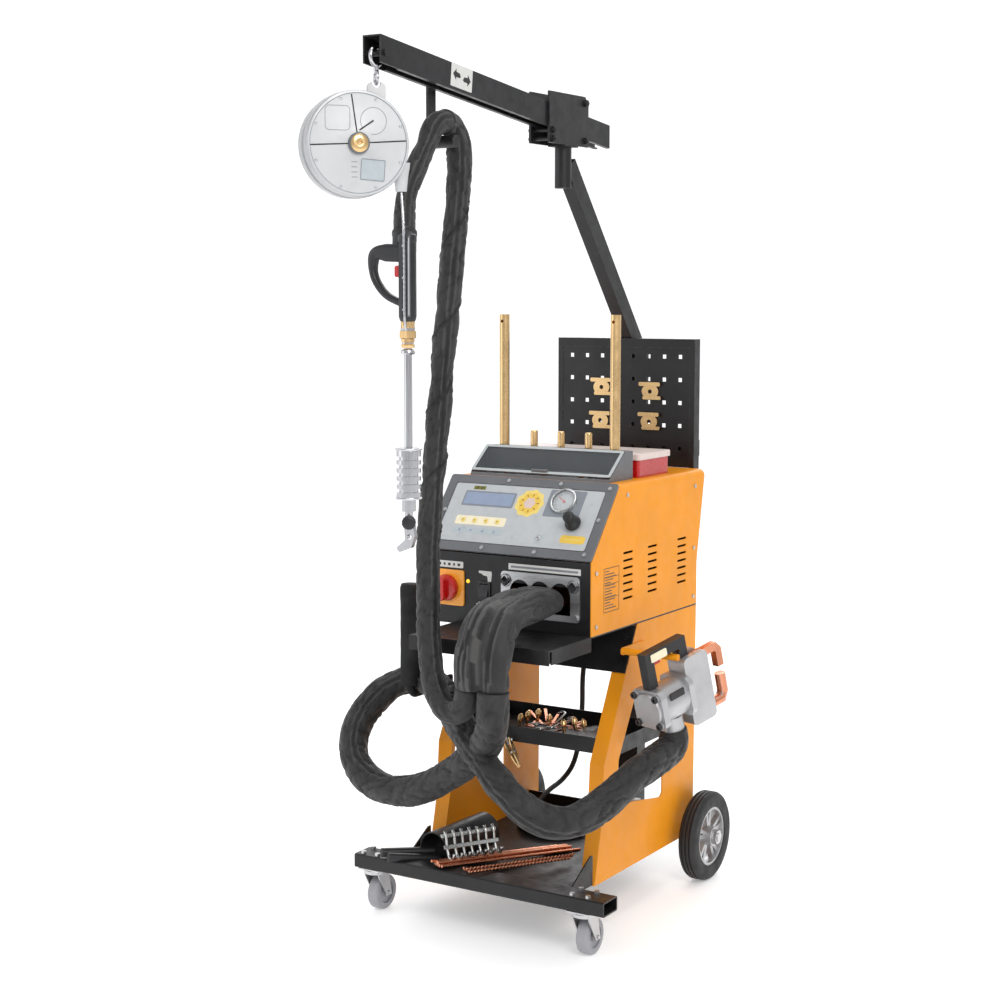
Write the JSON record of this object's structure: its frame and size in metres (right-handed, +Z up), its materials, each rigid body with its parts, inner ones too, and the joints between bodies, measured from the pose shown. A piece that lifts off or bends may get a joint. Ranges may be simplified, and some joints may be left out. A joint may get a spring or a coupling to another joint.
{
  "type": "spot welder",
  "caption": "Car-body welding trolley: yellow welding unit on a wheeled cart with a tool board, a swinging boom with a balanced stud gun, a hose loop and a clamp gun.",
  "frame": {"origin": "on the floor, on the cart's middle plane, straight below the welding unit's front panel", "axes": "+Z up, -Y to the front of the unit, +X to its right side seen from the front"},
  "size_m": [0.7566, 1.1592, 1.7785],
  "materials": {
    "yellow_paint": "gloss powder coat",
    "black_paint": "satin powder coat",
    "grey_paint": "satin",
    "zinc_steel": "zinc plated",
    "copper": "bright copper",
    "brass": "polished",
    "cast_aluminium": "cast, satin",
    "chrome": "polished",
    "black_plastic": "fine grain",
    "yellow_plastic": "gloss",
    "red_plastic": "gloss",
    "clear_plastic": "clear",
    "red_paint": "satin",
    "black_foam": "foam sleeve over a steel bar",
    "black_fabric": "coated woven sleeve",
    "black_rubber": "smooth",
    "rubber": "moulded tread",
    "grey_rubber": "smooth"
  },
  "bodies": {
    "root": {"accessory_box": "red_plastic", "base_tray": "black_paint", "board_clips": "brass", "cable_hook": "black_foam", "cart_top": "black_paint", "casing_shell": "yellow_paint", "caster_plates": "zinc_steel", "clamp_body": "cast_aluminium", "clamp_handle": "black_plastic", "clamp_hose": "black_fabric", "control_frame": "grey_paint", "cross_panel": "black_paint", "front_beam": "black_paint", "front_panel": "black_paint", "gauge_case": "black_plastic", "gun_hose_lower": "black_fabric", "hose_sheath": "black_fabric", "left_frame": "yellow_paint", "mains_coil": "black_rubber", "mains_lead": "black_rubber", "mains_plug": "black_rubber", "mast": "black_paint", "middle_tray": "black_paint", "outlet_plate": "zinc_steel", "rack_box": "grey_paint", "rear_axle": "zinc_steel", "rear_panel": "black_paint", "right_frame": "yellow_paint", "screws": "zinc_steel", "switch_plate": "yellow_plastic", "tool_board": "black_paint", "tool_rods": "brass", "transformer": "copper", "tray_tools": "copper"},
    "gauge_pointer": {"gauge_needle": "red_paint"},
    "regulator": {"regulator_knob": "black_plastic"},
    "main_switch": {"switch_knob": "red_plastic"},
    "rocker": {"rocker_switch": "black_plastic"},
    "window_flap": {"rack_window": "clear_plastic"},
    "left_wheel": {"left_tyre": "rubber", "left_rim": "cast_aluminium"},
    "right_wheel": {"right_tyre": "rubber", "right_rim": "cast_aluminium"},
    "left_swivel": {"left_fork": "zinc_steel"},
    "left_roller": {"left_caster_wheel": "grey_rubber"},
    "right_swivel": {"right_fork": "zinc_steel"},
    "right_roller": {"right_caster_wheel": "grey_rubber"},
    "boom": {"boom_rail": "black_paint", "boom_bracket": "black_paint", "balancer_case": "cast_aluminium", "balancer_hook": "chrome", "balancer_rope": "chrome", "gun_hose_riser": "black_fabric", "gun_hose_upper": "black_fabric"},
    "gun": {"gun_body": "black_plastic", "gun_shaft": "chrome"},
    "trigger": {"gun_trigger": "red_plastic"},
    "hammer": {"hammer_weight": "chrome"},
    "clamp_jaw": {"clamp_arm": "copper"},
    "clamp_button": {"clamp_trigger": "red_plastic"}
  },
  "joints": [
    {"name": "left_wheel_spin", "type": "hinge", "parent": "root", "child": "left_wheel", "pos_m": [-0.246, 0.46, 0.1], "axis": [1, 0, 0], "continuous": true},
    {"name": "right_wheel_spin", "type": "hinge", "parent": "root", "child": "right_wheel", "pos_m": [0.246, 0.46, 0.1], "axis": [1, 0, 0], "continuous": true},
    {"name": "left_caster_swivel", "type": "hinge", "parent": "root", "child": "left_swivel", "pos_m": [-0.256, -0.111, 0.09], "axis": [0, 0, 1], "continuous": true},
    {"name": "left_caster_roll", "type": "hinge", "parent": "left_swivel", "child": "left_roller", "pos_m": [-0.256, -0.089, 0.0375], "axis": [1, 0, 0], "continuous": true},
    {"name": "right_caster_swivel", "type": "hinge", "parent": "root", "child": "right_swivel", "pos_m": [0.256, -0.111, 0.09], "axis": [0, 0, 1], "continuous": true},
    {"name": "right_caster_roll", "type": "hinge", "parent": "right_swivel", "child": "right_roller", "pos_m": [0.256, -0.089, 0.0375], "axis": [1, 0, 0], "continuous": true},
    {"name": "boom_swing", "type": "hinge", "parent": "root", "child": "boom", "pos_m": [0, 0.235, 1.6], "axis": [0, 0, 1], "range_deg": [-60, 60]},
    {"name": "gun_lift", "type": "slide", "parent": "boom", "child": "gun", "axis": [0, 0, 1], "range_m": [-0.25, 0], "deforming": ["balancer_rope"]},
    {"name": "gun_trigger_press", "type": "slide", "parent": "gun", "child": "trigger", "axis": [1, 0, 0], "range_m": [0, 0.004], "stiffness_N_per_m": 900, "springref_m": -0.002},
    {"name": "hammer_slide", "type": "slide", "parent": "gun", "child": "hammer", "axis": [0, 0, 1], "range_m": [0, 0.17]},
    {"name": "clamp_jaw_close", "type": "hinge", "parent": "root", "child": "clamp_jaw", "pos_m": [0.33999, 0.19763, 0.53944], "axis": [0.9507, -0.31, 0], "range_deg": [0, 20]},
    {"name": "clamp_button_press", "type": "slide", "parent": "root", "child": "clamp_button", "axis": [-0.0775, -0.2378, 0.9682], "range_m": [0, 0.003], "stiffness_N_per_m": 900, "springref_m": -0.002},
    {"name": "main_switch_turn", "type": "hinge", "parent": "root", "child": "main_switch", "pos_m": [-0.139, -0.0074, 0.698], "axis": [0, -1, 0], "range_deg": [-90, 0]},
    {"name": "rocker_tip", "type": "hinge", "parent": "root", "child": "rocker", "pos_m": [-0.05, 0.004, 0.698], "axis": [1, 0, 0], "range_deg": [-14, 0]},
    {"name": "regulator_turn", "type": "hinge", "parent": "root", "child": "regulator", "pos_m": [0.137, 0.05027, 0.84237], "axis": [0, -0.7788, 0.6272], "range_deg": [0, 270]},
    {"name": "gauge_pointer_turn", "type": "hinge", "parent": "root", "child": "gauge_pointer", "pos_m": [0.095, 0.08352, 0.88364], "axis": [0, 0.7788, -0.6272], "range_deg": [0, 240]},
    {"name": "window_lift", "type": "hinge", "parent": "root", "child": "window_flap", "pos_m": [0, 0.20222, 0.98474], "axis": [1, 0, 0], "range_deg": [-75, 0]}
  ]
}
